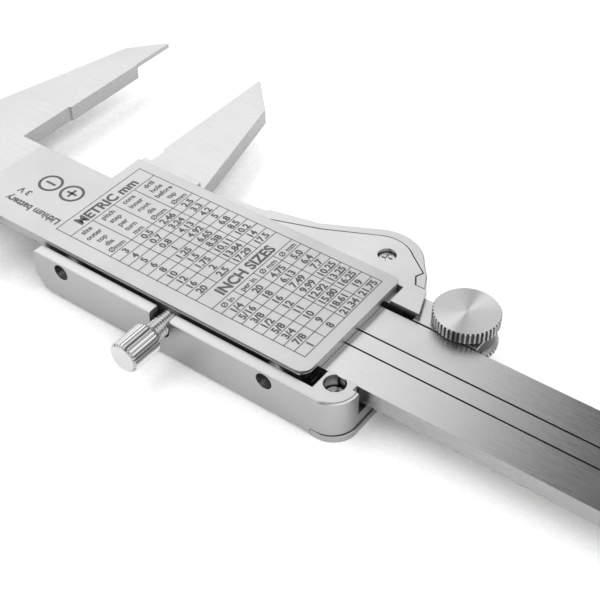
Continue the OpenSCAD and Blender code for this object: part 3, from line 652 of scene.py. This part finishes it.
def table_block(ink, start, title, title_len, heads, head_len, rows, row_len):
    """A title band, a head band and rows, from `start` along X, with four columns side by side along Y.
    Returns its end."""
    centres = [COLUMN * (k + 0.5) for k in range(4)]
    head_x = start + title_len
    rows_x = head_x + head_len
    end = rows_x + row_len * len(rows)
    height, weight = TITLE_TEXT
    ink.text(title, (start + title_len / 2 + 0.05, TABLE_WIDTH / 2), height, 90, weight)
    for x in [start, head_x] + [rows_x + row_len * k for k in range(len(rows) + 1)]:
        ink.bar((x, -LINE / 2), (x, TABLE_WIDTH + LINE / 2), LINE)
    for k in range(1, 4):
        ink.bar((head_x, COLUMN * k), (end, COLUMN * k), LINE)
    height, weight = HEAD_TEXT
    for words, y in zip(heads, centres):
        lines = (words,) if isinstance(words, str) else words
        gap = head_len / (len(lines) + 0.15)
        for k, word in enumerate(lines):
            x = head_x + head_len / 2 + gap * (k - (len(lines) - 1) / 2)
            ink.text(word, (x, y), height, 90, weight)
    height, weight = NUMBER_TEXT
    for k, row in enumerate(rows):
        for word, y in zip(row, centres):
            ink.text(word, (rows_x + row_len * (k + 0.5), y), height, 90, weight)
    return end


def thread_table():
    """The two thread tables on the back plate, read from the beam's free end."""
    ink = Print()
    middle = table_block(ink, 0.0, "METRIC mm", title_len=3.27, heads=METRIC_HEADS, head_len=8.54,
                         rows=METRIC, row_len=1.951)
    end = table_block(ink, middle, "INCH SIZES", title_len=3.15, heads=INCH_HEADS, head_len=1.81,
                      rows=INCH, row_len=1.929)
    for y in (0.0, TABLE_WIDTH):
        ink.bar((0, y), (end, y), LINE)
    origin = Vector((PLATE_HI.x - 51.89 * MM, PLATE_LO.y + 2.94 * MM, PLATE_HI.z))
    ink.build("thread_table_print", origin, (1, 0, 0), (0, 1, 0), INK, BODY_OF["thread_table_plate"])


def battery_marks():
    """Generic battery marks on the tongue of the plate, read from the outside jaws' side."""
    ink = Print()
    arm, stroke = 1.05, 0.46
    for x, upright in ((0.0, True), (4.9, False)):
        ink.ring((x, 0), 2.2, 0.5)
        ink.bar((x - arm, 0), (x + arm, 0), stroke)
        if upright:
            ink.bar((x, -arm), (x, arm), stroke)
    ink.text("3 V", (6.9, 4.2), height=1.35, weight=0.03)
    ink.text("Lithium battery", (2.4, 7.0), height=1.5, weight=0.032, stretch=0.94)
    origin = Vector((PLATE_HI.x - 56.4 * MM, PLATE_LO.y + 11.2 * MM, PLATE_HI.z))
    ink.build("battery_marks", origin, (-1, 0, 0), (0, -1, 0), INK, BODY_OF["thread_table_plate"])


thread_table()
battery_marks()


# ---------------------------------------------------------------- display side

# The bars that each digit lights, and each bar's ends in a digit 1 wide and 2 high. A bar stops GAP short
# of the corners.
SEGMENTS = {"2": "abged", "7": "abc", "0": "abcdef"}
GAP = 0.08
BARS = {
    "a": ((GAP, 2), (1 - GAP, 2)), "b": ((1, 1 + GAP), (1, 2 - GAP)), "c": ((1, GAP), (1, 1 - GAP)),
    "d": ((GAP, 0), (1 - GAP, 0)), "e": ((0, GAP), (0, 1 - GAP)), "f": ((0, 1 + GAP), (0, 2 - GAP)),
    "g": ((GAP, 1), (1 - GAP, 1)),
}


def display_digits():
    """The reading on the liquid crystal panel, 22.70 mm, which is the opening at rest."""
    low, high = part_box("display_panel")
    ink = Print()
    size, step, point_room, stroke = 3.3, 5.2, 1.2, 0.62
    for k, digit in enumerate("2270"):
        x = step * k + (point_room if k > 1 else 0.0)
        for name in SEGMENTS[digit]:
            a, b = BARS[name]
            ink.bar((x + a[0] * size, a[1] * size), (x + b[0] * size, b[1] * size), stroke)
    ink.bar((step * 2 - 0.75, -0.2), (step * 2 - 0.15, -0.2), 0.6)
    ink.text("mm", (step * 4 + 2.7, 0.75), height=1.7, weight=0.01)
    centre = (low + high) / 2
    origin = Vector((centre.x - 12.8 * MM, centre.y + 3.3 * MM, low.z))
    ink.build("display_digits", origin, (1, 0, 0), (0, -1, 0), INK, BODY_OF["display_panel"])


def scale_marks():
    """Millimetre lines, numbered every ten millimetres, on the film over the scale strip."""
    low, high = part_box("scale_label")
    width = (high.y - low.y) / MM
    ink = Print()
    reach, base, stroke = 150, 0.3, 0.13
    for k in range(reach + 1):
        length = 3.2 if k % 10 == 0 else (2.4 if k % 5 == 0 else 1.6)
        ink.bar((k, base), (k, base + length), stroke)
        if k % 10 == 0:
            ink.text(str(k), (k, 4.6), height=1.4, weight=0.015)
    ink.bar((-1.5, base), (reach + 1.5, base), stroke)
    ink.bar((-1.5, width - 0.5), (191.0, width - 0.5), 0.2)
    origin = Vector((low.x + 3.5 * MM, high.y, low.z))
    ink.build("scale_marks", origin, (1, 0, 0), (0, -1, 0), INK, BODY_OF["scale_label"])


def button_marks():
    """Generic symbols on the buttons: a power ring, a zero and the unit change."""
    for node, symbol in (("button_power", "power"), ("button_zero", "0"), ("button_unit", "mm")):
        low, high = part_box(node)
        centre = (low + high) / 2
        ink = Print()
        if symbol == "power":
            ink.ring((0, 0), 0.75, 0.16)
            ink.bar((0, 0.3), (0, 1.0), 0.2)
        else:
            ink.text(symbol, (0, 0), height=1.3, weight=0.01)
        ink.build(node + "_mark", Vector((centre.x, centre.y, low.z)), (1, 0, 0), (0, -1, 0), INK,
                  BODY_OF[node])


def cover_grip():
    """Grip ridges and an arrow on the battery cover."""
    low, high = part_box("battery_cover")
    centre = (low + high) / 2
    ink = Print()
    ink.rise = 0.09
    for k in range(5):
        ink.bar((-2.6, k * 0.9), (2.6, k * 0.9), 0.4)
    ink.bar((-0.9, 6.2), (0, 7.1), 0.35)
    ink.bar((0.9, 6.2), (0, 7.1), 0.35)
    ink.build("battery_cover_grip", Vector((centre.x, centre.y + 4.5 * MM, low.z)), (1, 0, 0), (0, -1, 0),
              MATERIALS["dark_plastic"], BODY_OF["battery_cover"])


display_digits()
scale_marks()
button_marks()
cover_grip()


# ---------------------------------------------------------------- studio

def direction(azimuth, elevation):
    """A unit vector, from degrees that turn from +X towards +Y and up."""
    a, e = math.radians(azimuth), math.radians(elevation)
    return Vector((math.cos(a) * math.cos(e), math.sin(a) * math.cos(e), math.sin(e)))


def add_light(name, towards, target, distance, size, radiance):
    """A square soft box seen from the target in the given direction, with the given radiance."""
    data = bpy.data.lights.new(name, "AREA")
    data.shape = "SQUARE"
    data.size = size
    data.energy = radiance * math.pi * size * size
    obj = bpy.data.objects.new(name, data)
    bpy.context.scene.collection.objects.link(obj)
    obj.location = target + towards * distance
    obj.rotation_mode = "QUATERNION"
    obj.rotation_quaternion = towards.to_track_quat("Z", "Y")


def floor():
    """A plain pale floor just under the caliper, far wider than any view."""
    mesh = bpy.data.meshes.new("floor")
    reach, drop = 30.0, -0.02 * MM
    corners = [(reach * x, reach * y, drop) for x, y in ((-1, -1), (1, -1), (1, 1), (-1, 1))]
    mesh.from_pydata(corners, [], [(0, 1, 2, 3)])
    obj = bpy.data.objects.new("floor", mesh)
    bpy.context.scene.collection.objects.link(obj)
    n = Nodes("pale_floor")
    grain = n.noise((900.0,) * 3)
    tint = n.mix(n.ramp(grain, 0.0, 1.0), (0.945, 0.945, 0.945), (0.955, 0.955, 0.955))
    n.link(tint, n.shader.inputs["Base Color"])
    n.link(n.ramp(grain, 0.24, 0.3), n.shader.inputs["Roughness"])
    mesh.materials.append(n.material)


def room(level, shade, middle, inner, outer, low):
    """An even pale room with a darker band across the beam's direction, which ground metal needs to show
    its shape. The band is centred where a direction's X is `middle`, and fades from `inner` to `outer`.
    Where a direction's Z is under 0.45 the room is dimmed, to `low` of its strength at 0.1 and below."""
    world = bpy.data.worlds.new("room")
    bpy.context.scene.world = world
    world.use_nodes = True
    tree = world.node_tree
    tree.nodes["Background"].inputs["Color"].default_value = (1, 1, 1, 1)
    coords = tree.nodes.new("ShaderNodeTexCoord").outputs["Generated"]
    parts = tree.nodes.new("ShaderNodeSeparateXYZ")
    tree.links.new(coords, parts.inputs[0])

    def fade(source, start, stop, first, last):
        node = tree.nodes.new("ShaderNodeMapRange")
        node.interpolation_type = "SMOOTHSTEP"
        ends = {"From Min": start, "From Max": stop, "To Min": first, "To Max": last}
        for name, value in ends.items():
            node.inputs[name].default_value = value
        tree.links.new(source, node.inputs["Value"])
        return node.outputs["Result"]

    def compute(operation, *sources):
        node = tree.nodes.new("ShaderNodeMath")
        node.operation = operation
        for socket, source in zip(node.inputs, sources):
            if isinstance(source, float):
                socket.default_value = source
            else:
                tree.links.new(source, socket)
        return node.outputs["Value"]

    away = compute("ABSOLUTE", compute("SUBTRACT", parts.outputs["X"], middle))
    band = fade(away, inner, outer, shade, level)
    horizon = fade(parts.outputs["Z"], 0.1, 0.45, low, 1.0)
    tree.links.new(compute("MULTIPLY", band, horizon), tree.nodes["Background"].inputs["Strength"])


def studio():
    """The floor, the room and one soft box over the jaws' side."""
    floor()
    room(level=2.2, shade=0.03, middle=-0.055, inner=0.1, outer=0.31, low=0.25)
    centre = (PLATE_LO + PLATE_HI) / 2
    add_light("key", direction(148, 52), centre, distance=0.7, size=0.42, radiance=0.3)


def camera():
    """The camera looks at the table plate near its right end, from the near right side and above."""
    azimuth, elevation, roll = math.radians(36.27), math.radians(42.51), math.radians(0.24)
    distance = 181.05 * MM
    aim = Vector((PLATE_HI.x - 9.85 * MM, (PLATE_LO.y + PLATE_HI.y) / 2 - 0.36 * MM, PLATE_HI.z))
    back = Vector((math.sin(azimuth) * math.cos(elevation), -math.cos(azimuth) * math.cos(elevation),
                   math.sin(elevation)))
    data = bpy.data.cameras.new("camera")
    data.sensor_width = 36.0
    data.lens = 71.8
    data.clip_start, data.clip_end = 0.01, 100.0
    obj = bpy.data.objects.new("camera", data)
    bpy.context.scene.collection.objects.link(obj)
    obj.location = aim + back * distance
    obj.rotation_mode = "QUATERNION"
    level = back.to_track_quat("Z", "Y")
    obj.rotation_quaternion = level @ Matrix.Rotation(-roll, 4, "Z").to_quaternion()
    bpy.context.scene.camera = obj


studio()
camera()
bpy.context.scene.view_settings.view_transform = "Standard"
